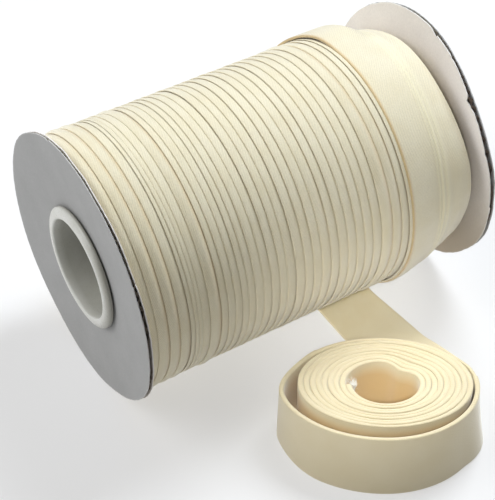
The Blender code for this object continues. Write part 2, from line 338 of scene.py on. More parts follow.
class Skin:
    """Faces over rows of points.

    An entry of a row is (point, painted shade and wear, along, across, painted warm shade, calm, pale):
    a place in mm, how much painted shade it has in folds, crevices and the core's hollows (on the board
    liners how worn the paper is, on the fluted middle how faded it is where crushed), its place on the
    cloth in mm, how much painted warm shade it has, how little of the weave shows and how much painted
    highlight it has.
    """

    SHADES = ("crease", "warmth", "calm", "pale")

    def __init__(self, name):
        self.name = name
        self.points = []
        self.places = []
        self.shades = {shade: [] for shade in self.SHADES}
        self.faces = []
        self.slots = []

    def add(self, point, crease=0.0, along=0.0, across=0.0, warmth=0.0, calm=0.0, pale=0.0):
        self.points.append(in_scene(point))
        self.places.extend((along * MM, across * MM, 0.0))
        for shade, value in zip(self.SHADES, (crease, warmth, calm, pale)):
            self.shades[shade].append(value)

    def add_rows(self, rows, loop=False, ring=False, slot=0):
        """Joins rows of entries. loop closes each row and ring joins the last row to the first."""
        start = len(self.points)
        wide = len(rows[0])
        for row in rows:
            for entry in row:
                self.add(*entry)
        for i in range(len(rows) - (0 if ring else 1)):
            here = start + i * wide
            after = start + (i + 1) % len(rows) * wide
            for j in range(wide - (0 if loop else 1)):
                k = (j + 1) % wide
                self.faces.append((here + j, here + k, after + k, after + j))
                self.slots.append(slot)

    def close(self, indices):
        """One face over a row's own points."""
        self.faces.append(tuple(indices))
        self.slots.append(0)

    def build(self, materials, flip=False, sharp_degrees=60):
        mesh = bpy.data.meshes.new(self.name)
        faces = [face[::-1] for face in self.faces] if flip else self.faces
        mesh.from_pydata(self.points, [], faces)
        for material in materials:
            mesh.materials.append(material)
        mesh.polygons.foreach_set("material_index", self.slots)
        for shade, values in self.shades.items():
            mesh.attributes.new(shade, "FLOAT", "POINT").data.foreach_set("value", values)
        mesh.attributes.new("cloth_place", "FLOAT_VECTOR", "POINT").data.foreach_set("vector", self.places)
        mesh.shade_smooth()
        mesh.set_sharp_from_angle(angle=math.radians(sharp_degrees))
        piece = bpy.data.objects.new(self.name, mesh)
        bpy.context.scene.collection.objects.link(piece)
        return piece


# Materials

# The colour Mix node's inputs and output
SHARE_IN, FIRST_IN, SECOND_IN, MIXED = 0, 6, 7, 2
IN_MM = (1000, 1000, 1000)
# Where most values of a noise lie
NOISE_SPAN = (0.3, 0.7)

CREAM = (0.86, 0.785, 0.565, 1)
CREAM_DEEP = (0.83, 0.745, 0.51, 1)
# Tan of the painted warm shade in the coil's hollows, on the wide turns and along the last turn's left edge
WARM_SHADE_TAN = (0.72, 0.52, 0.24, 1)
# Pale cream of the painted highlights on the last turn's ridges and right edge
CREAM_HIGHLIGHT = (0.97, 0.9, 0.62, 1)
# Olive-brown painted shade for the tape's folds and crevices, the coil's rims and the loose turn's outer wall
FOLD_SHADE_OLIVE = (0.6, 0.47, 0.24, 1)
WEAVE_CALMED = (0.97, 0.97, 0.97, 1)
WEAVE_TURN = math.radians(52)
THREAD_WHITE = (0.93, 0.92, 0.88, 1)
THREAD_CREAM = (0.82, 0.79, 0.7, 1)
# Grey of the outer liners, darker than the paper's own tone, to paint the shade on the flanges' outward faces
OUTSIDE_PAPER_AND_SHADE = ((0.41, 0.41, 0.405, 1), (0.38, 0.38, 0.375, 1))
INSIDE_PAPER = ((0.88, 0.84, 0.81, 1), (0.84, 0.8, 0.77, 1))
# Brown of the painted shade on the lower part of the flanges' inner faces
PAPER_SHADE_BROWN = (0.36, 0.29, 0.2, 1)
PAPER_WORN = (0.82, 0.8, 0.76, 1)
KRAFT_DARK = (0.035, 0.026, 0.02, 1)
KRAFT_BROWN = (0.16, 0.12, 0.09, 1)
KRAFT_FADED = (0.38, 0.36, 0.27, 1)
PLASTIC_LOW = (0.66, 0.66, 0.6, 1)
PLASTIC_HIGH = (0.72, 0.72, 0.68, 1)
# Olive-grey painted shade for the core's bore and lips
PLASTIC_SHADE = (0.25, 0.24, 0.19, 1)


def is_link(value):
    """Whether a value is a (node, output) pair and not a number or a colour."""
    return isinstance(value, tuple) and len(value) == 2 and hasattr(value[0], "outputs")


def node(tree, kind, settings=None, **inputs):
    """A shader node with its settings.

    An input is a number, a colour or a (node, output) pair to link. Inputs that share a name are given by
    their number, as n0, n1 and n2.
    """
    made = tree.nodes.new("ShaderNode" + kind)
    for name, value in (settings or {}).items():
        setattr(made, name, value)
    for name, value in inputs.items():
        numbered = name[0] == "n" and name[1:].isdigit()
        socket = made.inputs[int(name[1:]) if numbered else name.replace("_", " ")]
        if is_link(value):
            tree.links.new(value[0].outputs[value[1]], socket)
        else:
            socket.default_value = value
    return made


def new_material(name, roughness, **values):
    material = bpy.data.materials.new(name)
    material.use_nodes = True
    shader = material.node_tree.nodes["Principled BSDF"]
    shader.inputs["Roughness"].default_value = roughness
    for key, value in values.items():
        shader.inputs[key.replace("_", " ")].default_value = value
    return material, material.node_tree, shader


def ranged(tree, source, low, high, from_low=0.0, from_high=1.0):
    """A number brought from one range into another and held there, as a pair to link."""
    limits = {"From_Min": from_low, "From_Max": from_high, "To_Min": low, "To_Max": high}
    return node(tree, "MapRange", Value=source, **limits), "Result"


def mixed(tree, share, first, second, blend="MIX"):
    """A colour between two others, as a pair to link."""
    made = tree.nodes.new("ShaderNodeMix")
    made.data_type = "RGBA"
    made.blend_type = blend
    for place, value in ((SHARE_IN, share), (FIRST_IN, first), (SECOND_IN, second)):
        if is_link(value):
            tree.links.new(value[0].outputs[value[1]], made.inputs[place])
        else:
            made.inputs[place].default_value = value
    return made, MIXED


def carried(tree, name):
    """A value that the mesh carries."""
    return node(tree, "Attribute", {"attribute_name": name})


def object_place(tree):
    """The place on the object in millimetres, as a pair to link."""
    where = node(tree, "TexCoord")
    return node(tree, "Mapping", Vector=(where, "Object"), Scale=IN_MM), "Vector"


def finish_shader(tree, shader, colour, height=None, strength=0.0, distance=0.0):
    """Links the colour and, where there is a height, a bump made from it."""
    tree.links.new(colour[0].outputs[colour[1]], shader.inputs["Base Color"])
    if height:
        bump = node(tree, "Bump", Height=height, Strength=strength, Distance=distance)
        tree.links.new(bump.outputs["Normal"], shader.inputs["Normal"])


def cloth_material():
    """Cream folded cloth: diagonal weave, soft sheen and uneven tone.

    Its folds and crevices carry painted shade, its hollows painted warm shade and its ridges and edges
    painted highlights.
    """
    material, tree, shader = new_material("tape_cloth_look", 0.62, Sheen_Weight=0.7, Sheen_Roughness=0.5)
    place = (carried(tree, "cloth_place"), "Vector")
    turned = (node(tree, "Mapping", Vector=place, Rotation=(0, 0, WEAVE_TURN), Scale=IN_MM), "Vector")
    twill = node(
        tree,
        "TexWave",
        {"bands_direction": "X"},
        Vector=turned,
        Scale=0.5,
        Distortion=1.6,
        Detail=2.0,
        Detail_Scale=2.4,
    )
    crossing = node(
        tree, "TexWave", {"bands_direction": "Y"}, Vector=turned, Scale=0.7, Distortion=1.2, Detail=1.0
    )
    speckle = node(tree, "TexNoise", Vector=turned, Scale=1.5, Detail=3.0)
    add = {"operation": "MULTIPLY_ADD"}
    weave = node(tree, "Math", add, n0=(twill, "Fac"), n1=0.6, n2=(speckle, "Fac"))
    cloth = (node(tree, "Math", add, n0=(crossing, "Fac"), n1=0.3, n2=(weave, "Value")), "Value")
    broad = node(tree, "TexNoise", Vector=turned, Scale=0.09, Detail=2.0)
    tone = mixed(tree, ranged(tree, (broad, "Fac"), 0.0, 1.0, 0.35, 0.7), CREAM, CREAM_DEEP)
    # Painted warm shade in the coil's hollows, on the wide turns and along the last turn's left edge
    warm = mixed(tree, (carried(tree, "warmth"), "Fac"), tone, WARM_SHADE_TAN)
    # Painted highlight on the last turn's ridges and right edge
    highlighted = mixed(tree, (carried(tree, "pale"), "Fac"), warm, CREAM_HIGHLIGHT)
    calm = (carried(tree, "calm"), "Fac")
    calmed = mixed(tree, calm, ranged(tree, cloth, 0.82, 1.07, 0.4, 1.6), WEAVE_CALMED)
    woven = mixed(tree, 1.0, highlighted, calmed, "MULTIPLY")
    # Painted shade in the folds and crevices, on the coil's rims and on the loose turn's outer wall
    folded = mixed(tree, (carried(tree, "crease"), "Fac"), woven, FOLD_SHADE_OLIVE)
    finish_shader(tree, shader, folded, cloth, ranged(tree, calm, 0.6, 0.15), 0.0002)
    return material


def fibre_material():
    """White cotton threads, a little uneven in tone."""
    material, tree, shader = new_material("thread_look", 0.8, Sheen_Weight=0.3)
    where = node(tree, "TexCoord")
    speckle = node(tree, "TexNoise", Vector=(where, "Object"), Scale=900.0, Detail=2.0)
    share = ranged(tree, (speckle, "Fac"), 0.0, 1.0, 0.35, 0.65)
    finish_shader(tree, shader, mixed(tree, share, THREAD_WHITE, THREAD_CREAM))
    return material


def board_material(name, pale, dark):
    """Paper liner between two near tones: fine fibres, faint mottling, paler worn edges and painted brown
    shade.
    """
    material, tree, shader = new_material(name, 0.8)
    place = object_place(tree)
    fibres = (node(tree, "TexNoise", Vector=place, Scale=1.1, Detail=5.0, Roughness=0.65), "Fac")
    mottle = (node(tree, "TexNoise", Vector=place, Scale=0.08, Detail=3.0), "Fac")
    grey = mixed(tree, ranged(tree, mottle, 0.0, 1.0, *NOISE_SPAN), dark, pale)
    paper = mixed(tree, 1.0, grey, ranged(tree, fibres, 0.95, 1.04, *NOISE_SPAN), "MULTIPLY")
    # Painted brown shade on the lower part of the inner liners
    lower_shade = mixed(tree, (carried(tree, "warmth"), "Fac"), paper, PAPER_SHADE_BROWN)
    worn = mixed(tree, (carried(tree, "crease"), "Fac"), lower_shade, PAPER_WORN)
    finish_shader(tree, shader, worn, fibres, 0.15, 0.00008)
    return material


def medium_material():
    """Dark kraft paper inside the board, faded where the rim is crushed."""
    material, tree, shader = new_material("board_medium_look", 0.9)
    fibres = (node(tree, "TexNoise", Vector=object_place(tree), Scale=1.6, Detail=4.0), "Fac")
    brown = mixed(tree, ranged(tree, fibres, 0.0, 1.0, *NOISE_SPAN), KRAFT_DARK, KRAFT_BROWN)
    faded = mixed(tree, (carried(tree, "crease"), "Fac"), brown, KRAFT_FADED)
    finish_shader(tree, shader, faded, fibres, 0.4, 0.0001)
    return material


def plastic_material():
    """Off-white moulded plastic with a faint flow mottle, handling marks and painted olive-grey shade."""
    material, tree, shader = new_material("core_plastic_look", 0.3, Specular_IOR_Level=0.5)
    place = object_place(tree)
    flow = (node(tree, "TexNoise", Vector=place, Scale=0.16, Detail=3.0, Distortion=0.6), "Fac")
    marks = (node(tree, "TexNoise", Vector=place, Scale=2.2, Detail=4.0), "Fac")
    tone = mixed(tree, ranged(tree, flow, 0.0, 1.0, *NOISE_SPAN), PLASTIC_LOW, PLASTIC_HIGH)
    # Painted shade deep in the bore, on the lips' flanks against the boards and on their front-facing domes
    shaded_plastic = mixed(tree, (carried(tree, "crease"), "Fac"), tone, PLASTIC_SHADE)
    rough, result = ranged(tree, marks, 0.26, 0.46, 0.35, 0.7)
    tree.links.new(rough.outputs[result], shader.inputs["Roughness"])
    finish_shader(tree, shader, shaded_plastic, flow, 0.1, 0.0003)
    return material


def floor_material():
    """A pale table that glows a little, a painted light that keeps the shadows on it light."""
    material, _, shader = new_material("floor_look", 0.9, Emission_Strength=FLOOR_GLOW)
    shader.inputs["Base Color"].default_value = (FLOOR_PALE, FLOOR_PALE, FLOOR_PALE, 1)
    shader.inputs["Emission Color"].default_value = (1, 1, 1, 1)
    return material


# The wound turns


def fold_places():
    place = FIRST_FOLD
    folds = [place]
    for turns, pitch in TURN_GROUPS:
        for _ in range(turns):
            place += pitch
            folds.append(place)
    return folds


FOLDS = fold_places()
LAST = len(FOLDS) - 1
# Turns next to the last one, whose painted fold shade is also tinted tan
TAN_BY_BAND = (LAST - 2.6, LAST - 1.6)


def bent(rows, radius, degrees):
    """How far a flange is bent inwards at a place near its rim."""
    return on_curve(rows, degrees % 360, 8) * smooth(radius, 30, FLANGE_RADIUS)


def fold_at(turn):
    """The left fold's place along the spool after a number of turns from the first fold's front."""
    whole = math.floor(turn)
    if whole < 0:
        place = FOLDS[0] + turn * (FOLDS[1] - FOLDS[0])
    elif whole >= LAST:
        place = FOLDS[LAST] + (turn - LAST) * LAST_TURN_PITCH
    else:
        place = FOLDS[whole] + (turn - whole) * (FOLDS[whole + 1] - FOLDS[whole])
    place += FOLD_WAVER * waver(turn * FOLD_WAVES)
    return max(place, LEFT_END + bent(LEFT_BENT, CREST_RADIUS, turn * 360))


def sag(x, degrees):
    """How far the right end's turns hang away from the axis, low on the front."""
    degrees = (degrees + 180) % 360 - 180
    low = smooth(degrees, *SAG_GROWS) * (1 - smooth(degrees, *SAG_ENDS))
    return LAST_TURN_SAG * low * smooth(x, *SAG_STARTS) * (1 - smooth(x, *SAG_STOPS))


def top_hump(x, degrees):
    """How far the last turn stands off over the top, where it begins to slant up to the other turns."""
    raised = smooth(degrees, *LAST_TURN_LIFTS) * (1 - smooth(degrees, *HUMP_ENDS))
    lower = LAST_TURN_FORM[0][1] - on_curve(LAST_TURN_FORM, x, 1.5)
    return lower * raised * (1 - smooth(x, *LIFT_STOPS))


def edge_hang(x, degrees):
    """How far the last turn stands off along its right edge."""
    degrees = (degrees + 180) % 360 - 180
    return on_curve(EDGE_HANGS, degrees, 8) * smooth(x, *EDGE_OPENS)


# Across a turn: the angle round its left fold, or the share of the way to the next, and its painted fold
# shade
LIP_ANGLES = ((-65, 0.85), (-25, 0.6), (5, 0.2), (35, 0.0), (62, 0.0), (90, 0.0))
TOP_SHARES = ((0.18, 0.0), (0.4, 0.0), (0.62, 0.0), (0.82, 0.0), (0.94, 0.0), (1.0, 0.15))


def turn_row(turn):
    """One row across a turn: round its left fold, over its crown and under the next turn's fold."""
    left = fold_at(turn)
    pitch = fold_at(turn + 1) - left
    drop = min(LARGEST_DROP, DROP_PER_PITCH * pitch)
    lip = drop + FOLD_LIP
    deep = min(0.45, 0.2 + 0.06 * pitch)
    soft = smooth(pitch, *SOFT_PITCH)
    by_band = smooth(turn, *TAN_BY_BAND)
    crown = CROWN + SOFT_CROWN * soft
    degrees = turn * 360
    along = turn * 2 * math.pi * CREST_RADIUS
    crest = CREST_RADIUS + CREST_WAVER * waver(turn * CREST_WAVES, 5.0)
    row = []

    def put(x, radius, crease):
        lowered = on_line(LEFT_SHOULDER, x)
        radius += sag(x, degrees) - lowered
        # Painted tan shade on each wide turn's right part and in the folds by the last turn; less fold shade
        # on wide turns
        warm = max(TURN_TAN_SHADE * soft * smooth(x - left, 0.55 * pitch, pitch + 0.1), crease * by_band)
        row.append((round_spool(x, radius, degrees), crease * (1 - 0.5 * soft), along, x - left, warm))

    for angle, crease in LIP_ANGLES:
        leaned = math.radians(angle)
        put(left + deep * (1 - math.cos(leaned)), crest - lip / 2 + lip / 2 * math.sin(leaned), crease)
    for share, crease in TOP_SHARES:
        x = left + deep + (pitch - deep) * share
        put(x, crest - drop * share**1.4 + crown * math.sin(math.pi * share), crease)
    # Under the next turn's fold the painted shade is full
    put(left + pitch + 0.5, crest - drop - 0.35 + 0.2 * soft, 1.0)
    return row


def wound_turns(cloth):
    skin = Skin("wound_turns")
    first = -round(TURNS_BEFORE * STEPS_PER_TURN)
    last = round((LAST + (LAST_TURN_STARTS + 2) / 360) * STEPS_PER_TURN)
    skin.add_rows([turn_row(step / STEPS_PER_TURN) for step in range(first, last + 1)])
    return skin.build([cloth])


BODY_STEP = 3
# The layers below the visible turns: how far below the crests, and at which places along the spool
BELOW_TURNS = 1.7
BELOW_PLACES = (20, 40, 60, 80, 100, 112)
UNDER_STEPS = 22
UNDER_PITCH = 1.24
END_WAVER = 0.5


def wound_body(cloth):
    """What the outer turns lie on: layers that end at both flanges, and the turn under the last one."""
    left_face = FLANGE_THICK + 0.3
    profile = [(left_face + dish, radius, 0.0) for radius, dish in FLANGE_DISH[:-1]]
    # Third numbers: painted shade by the left flange, below the turns and at the layers' right ends
    profile.append((left_face + 0.5, CREST_RADIUS - 2 * BELOW_TURNS, 0.3))
    profile.append((left_face + 1.2, CREST_RADIUS - BELOW_TURNS, 0.5))
    profile += [(place, CREST_RADIUS - BELOW_TURNS, 0.6) for place in BELOW_PLACES]
    under = on_line(LAST_TURN_FORM, LAST_TURN_LEFT) - UNDER_LAST_TURN
    profile.append((LAST_TURN_LEFT - 0.5, under - 0.3, 0.4))
    for step in range(UNDER_STEPS):
        x = LAST_TURN_LEFT + 1 + step * UNDER_PITCH
        profile.append((x, on_curve(LAST_TURN_FORM, x, 2) - UNDER_LAST_TURN, 0.0))
    profile += [(x, radius, 0.9) for x, radius in RIGHT_SHOULDER]
    layer = RIGHT_SHOULDER[-1][1]
    step = 0
    while layer > TUBE_RADIUS + 2:
        edge = RIGHT_SHOULDER[-1][0] + END_WAVER * waver(step * 0.83, 2.0)
        profile += [(edge - 0.35, layer - 0.15, 0.8), (edge, layer - 0.4, 0.0), (edge, layer - 1.0, 0.0)]
        layer -= TAPE_THICK
        step += 1
    profile.append((RIGHT_SHOULDER[-1][0], TUBE_RADIUS + 0.3, 0.0))
    skin = Skin("wound_body")
    rows = []
    for degrees in range(0, 360, BODY_STEP):
        row = []
        for x, radius, crease in profile:
            grown = sag(x, degrees) + UNDER_FOLLOWS * (edge_hang(x, degrees) + top_hump(x, degrees))
            grown *= smooth(radius, TUBE_RADIUS, CREST_RADIUS - 9)
            uneven = 0.15 * smooth(x, 142, 147) * waver(radius * 0.6, degrees * 0.02)
            if x < FIRST_FOLD:
                x += bent(LEFT_BENT, radius, degrees)
            place = round_spool(x + uneven, radius + grown, degrees)
            row.append((place, crease, math.radians(degrees) * radius, x))
        rows.append(row)
    skin.add_rows(rows, ring=True, loop=True)
    return skin.build([cloth], sharp_degrees=50)


# The loose end, from the last turn to the inside of the coil

OUTER_STATIONS = (
    0, 0.08, 0.22, 0.45, 0.8, 1.4, 2.6, 4.2, 6, 8, 10, 11, 11.7, 12.1, 12.4, 12.7, 13, 13.3, 13.6, 13.9, 14.2,
    14.5, 14.9, 15.3, 15.7, 16.1, 16.6, 17.1, 17.6, 18.2, 18.8, 19.5, 20.4, 21.6, 23, 24, 24.6, 24.95, 25.18,
    25.32, 25.4,
)
INNER_STATIONS = (25.2, 24.8, 24.2, 22, 18, 12.7, 8, 4, 1.2, 0.6, 0.2)
BAND_RIDGES = (
    # (mm from the left edge, height in mm, width in mm, how much painted highlight)
    (13.9, 0.3, 0.35, 0.7),
    (14.4, -0.16, 0.2, 0.0),
    (15.2, 0.4, 0.6, 0.9),
    (17.0, 0.32, 0.8, 0.6),
    (19.4, -0.12, 0.9, 0.0),
)
EDGE_BEAD = 0.22
BEAD_STATION = 24.8
BEAD_WIDTH = 0.35
RIDGE_WAVER = 0.25
RIDGES_LEAN = ((-20, -1.3), (25, -1.5), (60, 0.3), (90, 2.0), (120, 2.3))


def oval(degrees, long_reach, short_reach):
    """A point of an oval about the coil's middle: 0 degrees is its right end and -90 its front."""
    angle = math.radians(degrees)
    along = Vector((math.cos(COIL_TURN), math.sin(COIL_TURN), 0))
    back = Vector((-math.sin(COIL_TURN), math.cos(COIL_TURN), 0))
    return COIL_MIDDLE + along * long_reach * math.cos(angle) + back * short_reach * math.sin(angle)


def between(four, share):
    """A point on a smooth curve between the second and third of four points."""
    a, b, c, d = four
    square = share * share
    straight = 2 * b + (c - a) * share
    curved = (2 * a - 5 * b + 4 * c - d) * square
    return 0.5 * (straight + curved + (3 * (b - c) + d - a) * square * share)


def wrap_rows():
    """The last turn's middle surface, up the front, over the top and slanting down the back."""
    rows = []
    lifted = CREST_RADIUS + 0.3 + TAPE_THICK - LAST_TURN_FORM[0][1]
    for degrees in range(LAST_TURN_STARTS, LAST_TURN_SLANTS[1] + 1, WRAP_STEP):
        slant = smooth(degrees, *LAST_TURN_SLANTS)
        left = LAST_TURN_LEFT + LAST_TURN_PITCH * degrees / 360
        left += (STRIP_LEFT - left) * slant
        opened = 1 + (BAND_WIDTH / TAPE_WIDTH - 1) * (1 - smooth(degrees, 100, 200))
        row = []
        for station in OUTER_STATIONS:
            x = left + station * opened
            radius = on_curve(LAST_TURN_FORM, x, 1.5) - TAPE_THICK / 2
            riding = 1 - (1 - slant) * smooth(x, *LIFT_STOPS)
            radius += lifted * riding * smooth(degrees, *LAST_TURN_LIFTS)
            radius += sag(x, degrees) + edge_hang(x, degrees) + top_hump(x, degrees)
            row.append(round_spool(x, radius, degrees))
        rows.append(row)
    return rows


def straight_row(bottom, top):
    return [bottom + (top - bottom) * (station / TAPE_WIDTH) for station in OUTER_STATIONS]


STRIP_PLACES = (4.5, 2, -1, -4, -7.5, -11, -15, -19, -24)
STRIP_LANDS = 16


def strip_rows(start):
    """From under the spool down to the surface and out over it."""
    floor = TAPE_THICK / 2
    rows = []
    for y in STRIP_PLACES:
        height = floor + (start.z - floor) * (1 - smooth(-y, -start.y, STRIP_LANDS))
        left = Vector((STRIP_LEFT, y, height))
        rows.append(straight_row(left, left + Vector((TAPE_WIDTH, 0, 0))))
    return rows


def twist_rows(before, after):
    """Where the strip's right edge rises while its left edge stays on the surface."""
    guides = [(before[0], before[-1])]
    for bottom_x, bottom_y, top_x, top_y, top_z in TWIST_ROWS:
        guides.append((Vector((bottom_x, bottom_y, 0)), Vector((top_x, top_y, top_z))))
    guides.append((after[0], after[-1]))
    for bottom, top in guides[1:-1]:
        flat = (top - bottom).normalized()
        bottom.z = TAPE_THICK / 2 * math.hypot(flat.x, flat.y) + 0.02
        top.z += bottom.z
    rows = []
    for i in range(len(guides) - 1):
        four = [guides[min(max(i + j, 0), len(guides) - 1)] for j in (-1, 0, 1, 2)]
        for step in range(TWIST_STEPS):
            if i or step:
                share = step / TWIST_STEPS
                bottom, top = (between([pair[side] for pair in four], share) for side in (0, 1))
                rows.append(straight_row(bottom, top))
    return rows


def loose_rows():
    """The loose turn round the coil: right end, front, left end and back."""
    rows = []
    for degrees in range(LOOSE_TURN_STARTS, LOOSE_TURN_ENDS, -LOOSE_STEP):
        front = math.sin(math.radians(-degrees))
        right_reach, left_reach, front_reach, back_reach = LOOSE_TURN
        reach = right_reach if degrees > -90 else left_reach
        short = front_reach if front > 0 else back_reach
        joined = smooth(-degrees, *LOOSE_JOINS)
        long_reach = reach + (COIL_OUTSIDE[0] + LOOSE_OUTSIDE - reach) * joined
        short_reach = short + (COIL_OUTSIDE[1] + LOOSE_OUTSIDE - short) * joined
        top = oval(degrees, long_reach, short_reach)
        flare = LOOSE_FLARE * max(front, 0) ** 0.8 * (1 - 0.6 * smooth(-degrees, *FLARE_CALMS))
        lag = LOOSE_LAG * (1 - smooth(-degrees, -LOOSE_TURN_STARTS, 30))
        bottom = oval(degrees + lag, long_reach, short_reach)
        flare = max(flare, RIGHT_FLARE * (1 - smooth(-degrees, 30, 90)) * smooth(-degrees, -10, 25))
        bottom += (bottom - COIL_MIDDLE).normalized() * flare
        bottom.z = REST_GAP
        top.z = REST_GAP + math.sqrt(TAPE_WIDTH**2 - flare**2)
        rows.append(straight_row(bottom, top))
    return rows


def coil_share(turned):
    """How far out the tape lies in the coil after turning so many degrees: 0 its hole and 1 its outside."""
    if turned < COIL_CLOSES:
        joined = smooth(turned, -LOOSE_TURN_ENDS, COIL_CLOSES)
        return COIL_STARTS + (OUTER_SHARE - COIL_STARTS) * joined
    share = (turned - COIL_CLOSES) / (COIL_ENDS - COIL_CLOSES)
    return OUTER_SHARE + (INNER_SHARE - OUTER_SHARE) * share


def coil_rows():
    """The turns of the coil, from the outside in."""
    rows = []
    place, width, depth = HOLE_DENT
    for turned in range(-LOOSE_TURN_ENDS, COIL_ENDS + 1, COIL_STEP):
        share = coil_share(turned)
        reach = [inner + (outer - inner) * share for inner, outer in zip(COIL_HOLE, COIL_OUTSIDE)]
        away = (-turned - place + 180) % 360 - 180
        dent = 1 - depth * max(1 - share, 0) ** 2 * math.exp(-((away / width) ** 2))
        bottom = COIL_MIDDLE + (oval(-turned, *reach) - COIL_MIDDLE) * dent
        bottom += (bottom - COIL_MIDDLE).normalized() * 0.12 * waver(turned * 0.02, 9.0)
        settled = smooth(turned, -LOOSE_TURN_ENDS, COIL_SETTLES)
        bottom.z = REST_GAP + 0.45 * (1 + waver(turned / 360 * 1.3, 3.0)) * settled
        top = bottom + Vector((0, 0, TAPE_WIDTH))
        bottom -= (bottom - COIL_MIDDLE).normalized() * INNER_LEAN * max(1 - share, 0) ** 3
        rows.append(straight_row(bottom, top))
    return rows


def coil_thickness(turned):
    """The folded tape opens a little where the oval's ends leave it room."""
    spread = (OUTER_SHARE - INNER_SHARE) / (COIL_ENDS - COIL_CLOSES) * 360
    ends = (COIL_OUTSIDE[0] - COIL_HOLE[0]) * spread * math.cos(math.radians(turned))
    sides = (COIL_OUTSIDE[1] - COIL_HOLE[1]) * spread * math.sin(math.radians(turned))
    filled = 0.97 + 0.05 * waver(turned * 0.011, 6.0)
    thinnest, thickest = COIL_THICK
    return min(max(filled * math.hypot(ends, sides), thinnest), thickest)


def wall_warm_shade(step, count):
    """Painted warm shade on the coil's outer side, towards the loose turn, and on its inner side, in the
    hole.
    """
    if step < 0:
        loose_starts = LOOSE_TURN_ENDS / LOOSE_STEP
        return 0.0, LOOSE_WARM_SHADE * smooth(step, loose_starts - 8, loose_starts)
    turned = step * COIL_STEP
    left = (count - step) * COIL_STEP
    return COIL_WARM_SHADE * (1 - smooth(turned, 360, 460)), COIL_WARM_SHADE * (1 - smooth(left, 380, 460))


def edge_round(station):
    """The share of the thickness left towards the two folded edges."""
    near = min(station, TAPE_WIDTH - station)
    return 1.0 if near >= FOLD_ROUND else math.sqrt(max(1 - (1 - near / FOLD_ROUND) ** 2, 0))


def loose_tape(cloth):
    wrap = wrap_rows()
    strip = strip_rows(wrap[-1][0])
    loose = loose_rows()
    twist = twist_rows(strip[-1], loose[0])
    coil = coil_rows()
    rows = wrap + strip + twist + loose + coil
    thick = [TAPE_THICK] * (len(wrap) + len(strip) + len(twist)) + [LOOSE_THICK] * len(loose)
    thick += [coil_thickness(step * COIL_STEP - LOOSE_TURN_ENDS) for step in range(len(coil))]
    wide = len(OUTER_STATIONS)
    middle = wide // 2
    along = [0.0]
    for before, after in zip(rows, rows[1:]):
        along.append(along[-1] + (after[middle] - before[middle]).length)
    looped = []
    for i, row in enumerate(rows):
        before, after = rows[max(i - 1, 0)], rows[min(i + 1, len(rows) - 1)]
        normals = []
        for j in range(wide):
            across = row[min(j + 1, wide - 1)] - row[max(j - 1, 0)]
            forward = after[j] - before[j]
            normals.append(across.cross(forward).normalized())
        on_spool = 1 - smooth(i, len(wrap) - 30, len(wrap))
        on_coil = i - (len(rows) - len(coil))
        on_loose = smooth(on_coil, -len(loose) - 20, -len(loose)) * (1 - smooth(on_coil, -6, 0))
        calm = LOOSE_CALM * smooth(i, len(wrap) - 20, len(wrap) + 10)
        outer_warm_shade, inner_warm_shade = wall_warm_shade(on_coil, len(coil))
        degrees = LAST_TURN_STARTS + i * WRAP_STEP
        loop = []
        for j, station in enumerate(OUTER_STATIONS):
            half = thick[i] / 2 * edge_round(station)
            # Painted shade on the last turn's left fold, on the coil's rims and on the loose turn's outer
            # wall
            crease = LEFT_FOLD_SHADE * on_spool if station < LEFT_FOLD else 0.0
            crease = max(crease, RIM_SHADE * (1 - on_spool) * smooth(station, *RIM_STATIONS))
            crease = max(crease, WALL_SHADE * on_loose * (1 - smooth(station, *RIM_STATIONS)))
            # Painted highlight along the last turn's right edge and on its ridges
            pale = EDGE_HIGHLIGHT * on_spool * smooth(station, TAPE_WIDTH - 0.8, TAPE_WIDTH - 0.2)
            for place, height, width, shade in BAND_RIDGES:
                wander = place + RIDGE_WAVER * waver(i * 0.02, 4.0) + on_line(RIDGES_LEAN, degrees)
                share = on_spool * math.exp(-(((station - wander) / width) ** 2))
                half += height * share
                pale = max(pale, shade * share)
            half += EDGE_BEAD * on_spool * math.exp(-(((station - BEAD_STATION) / BEAD_WIDTH) ** 2))
            # Painted warm shade between the coil and the loose turn, and painted tan shade along the last
            # turn's left edge
            warm = outer_warm_shade * smooth(TAPE_WIDTH - station, *WARM_STARTS)
            warm = max(warm, EDGE_TAN_SHADE * on_spool * (1 - smooth(station, *TAN_STATIONS)))
            loop.append((row[j] + normals[j] * half, crease, along[i], station, warm, calm, pale))
        for station in INNER_STATIONS:
            j = min(range(wide), key=lambda k: abs(OUTER_STATIONS[k] - station))
            half = thick[i] / 2 * edge_round(station)
            # Painted warm shade in the coil's hole, and painted tan shade along the last turn's left edge
            warm = inner_warm_shade * smooth(TAPE_WIDTH - station, *WARM_STARTS)
            warm = max(warm, EDGE_TAN_SHADE * on_spool * (1 - smooth(station, *TAN_STATIONS)))
            # Painted shade on the coil's rims
            crease = RIM_SHADE * (1 - on_spool) * smooth(station, *RIM_STATIONS)
            loop.append((row[j] - normals[j] * half, crease, along[i], station, warm, calm))
        looped.append(loop)
    skin = Skin("loose_tape_cloth")
    skin.add_rows(looped, loop=True)
    count = len(looped[0])
    skin.close(range(count))
    skin.close(range(len(skin.points) - 1, len(skin.points) - count - 1, -1))
    piece = skin.build([cloth], flip=True, sharp_degrees=80)
    return piece, along[-1]


THREADS = 130
THREAD_SEED = 7
THREAD_ROWS = 4
THREAD_SIDES = 3
THREAD_RADIUS = 0.14
THREAD_TAPER = 0.6
THREAD_REACH = (1.0, 2.8)


